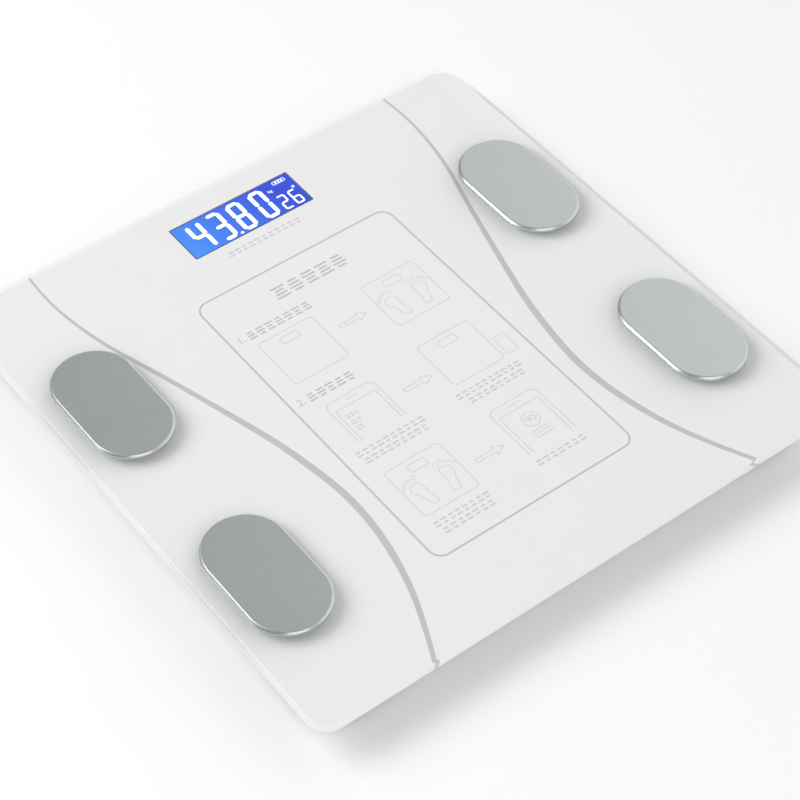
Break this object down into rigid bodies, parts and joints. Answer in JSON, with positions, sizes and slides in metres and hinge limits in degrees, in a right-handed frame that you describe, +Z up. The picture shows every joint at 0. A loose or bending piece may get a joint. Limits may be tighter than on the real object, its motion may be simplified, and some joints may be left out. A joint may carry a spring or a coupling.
{
  "type": "digital bathroom scale",
  "caption": "Square glass-topped digital scale with stadium steel electrode pads, a blue display window, a tapered base shell, load-cell feet, a battery door and a unit button.",
  "frame": {"origin": "on the floor under the middle of the glass platform, at the bottom of the feet", "axes": "+Z up, +Y towards the display at the rear, +X along the front edge to the user's right"},
  "size_m": [0.26, 0.26, 0.024],
  "materials": {
    "clear_glass": "polished clear tempered glass, ground edges",
    "white_print": "white back-printed film with thin grey line graphics",
    "foam_tape": "closed-cell foam tape",
    "shell_plastic": "fine-textured moulded ABS",
    "electrode_steel": "satin brushed stainless steel with a bright bevelled rim",
    "seal_rubber": "thin silicone gasket",
    "zinc_hardware": "zinc-plated steel",
    "foot_rubber": "soft moulded rubber with a ring tread",
    "cup_nylon": "moulded nylon",
    "cell_steel": "nickel-plated spring steel",
    "gauge_potting": "white silicone potting",
    "display_glass": "blue negative liquid-crystal cell with white segments",
    "backlight_acrylic": "clear acrylic light guide",
    "display_frame": "black moulded frame",
    "connector_rubber": "layered conductive elastomer",
    "board_laminate": "green solder mask on glass-epoxy laminate",
    "chip_epoxy": "black moulded epoxy",
    "radio_can": "tin-plated shield can",
    "header_nylon": "natural nylon",
    "button_plastic": "grey moulded plastic",
    "switch_plastic": "black switch case and plunger",
    "battery_jacket": "printed jacket on a steel can",
    "nickel_contact": "nickel-plated spring steel",
    "lead_white": "PVC insulation",
    "lead_blue": "PVC insulation",
    "lead_red": "PVC insulation"
  },
  "bodies": {
    "platform": {"adhesive_gasket": "foam_tape", "base_shell": "shell_plastic", "battery_cells": "battery_jacket", "battery_contacts": "nickel_contact", "battery_leads": "lead_red", "battery_springs": "nickel_contact", "board_chips": "chip_epoxy", "board_headers": "header_nylon", "board_passives": "chip_epoxy", "board_screws": "zinc_hardware", "cell_retainers": "cup_nylon", "connector_strip": "connector_rubber", "electrode_leads": "lead_blue", "electrode_nuts": "zinc_hardware", "electrode_pad_front_left": "electrode_steel", "electrode_pad_front_right": "electrode_steel", "electrode_pad_rear_left": "electrode_steel", "electrode_pad_rear_right": "electrode_steel", "electrode_seals": "seal_rubber", "electrode_terminals": "zinc_hardware", "electrode_washers": "zinc_hardware", "glass_platform": "clear_glass", "lcd_backlight": "backlight_acrylic", "lcd_frame": "display_frame", "lcd_glass": "display_glass", "load_cell_front_left": "cell_steel", "load_cell_front_right": "cell_steel", "load_cell_leads": "lead_white", "load_cell_rear_left": "cell_steel", "load_cell_rear_right": "cell_steel", "main_board": "board_laminate", "print_film": "white_print", "radio_module": "radio_can", "strain_gauges": "gauge_potting", "unit_switch": "switch_plastic"},
    "foot_front_left": {"foot_pad_front_left": "foot_rubber", "foot_cup_front_left": "cup_nylon", "foot_fastener_front_left": "zinc_hardware"},
    "foot_front_right": {"foot_pad_front_right": "foot_rubber", "foot_cup_front_right": "cup_nylon", "foot_fastener_front_right": "zinc_hardware"},
    "foot_rear_left": {"foot_pad_rear_left": "foot_rubber", "foot_cup_rear_left": "cup_nylon", "foot_fastener_rear_left": "zinc_hardware"},
    "foot_rear_right": {"foot_pad_rear_right": "foot_rubber", "foot_cup_rear_right": "cup_nylon", "foot_fastener_rear_right": "zinc_hardware"},
    "battery_door": {"battery_door": "shell_plastic"},
    "unit_button": {"unit_button": "button_plastic", "switch_plunger": "switch_plastic"}
  },
  "joints": [
    {"name": "foot_front_left_press", "type": "slide", "parent": "platform", "child": "foot_front_left", "axis": [0, 0, 1], "range_m": [0, 0.0005], "stiffness_N_per_m": 900000, "deforming": ["load_cell_front_left"]},
    {"name": "foot_front_right_press", "type": "slide", "parent": "platform", "child": "foot_front_right", "axis": [0, 0, 1], "range_m": [0, 0.0005], "stiffness_N_per_m": 900000, "deforming": ["load_cell_front_right"]},
    {"name": "foot_rear_left_press", "type": "slide", "parent": "platform", "child": "foot_rear_left", "axis": [0, 0, 1], "range_m": [0, 0.0005], "stiffness_N_per_m": 900000, "deforming": ["load_cell_rear_left"]},
    {"name": "foot_rear_right_press", "type": "slide", "parent": "platform", "child": "foot_rear_right", "axis": [0, 0, 1], "range_m": [0, 0.0005], "stiffness_N_per_m": 900000, "deforming": ["load_cell_rear_right"]},
    {"name": "battery_door_hinge", "type": "hinge", "parent": "platform", "child": "battery_door", "pos_m": [0, 0.0478, 0.003], "axis": [1, 0, 0], "range_deg": [0, 80]},
    {"name": "unit_button_press", "type": "slide", "parent": "platform", "child": "unit_button", "axis": [0, 0, 1], "range_m": [0, 0.0008], "stiffness_N_per_m": 1600}
  ]
}
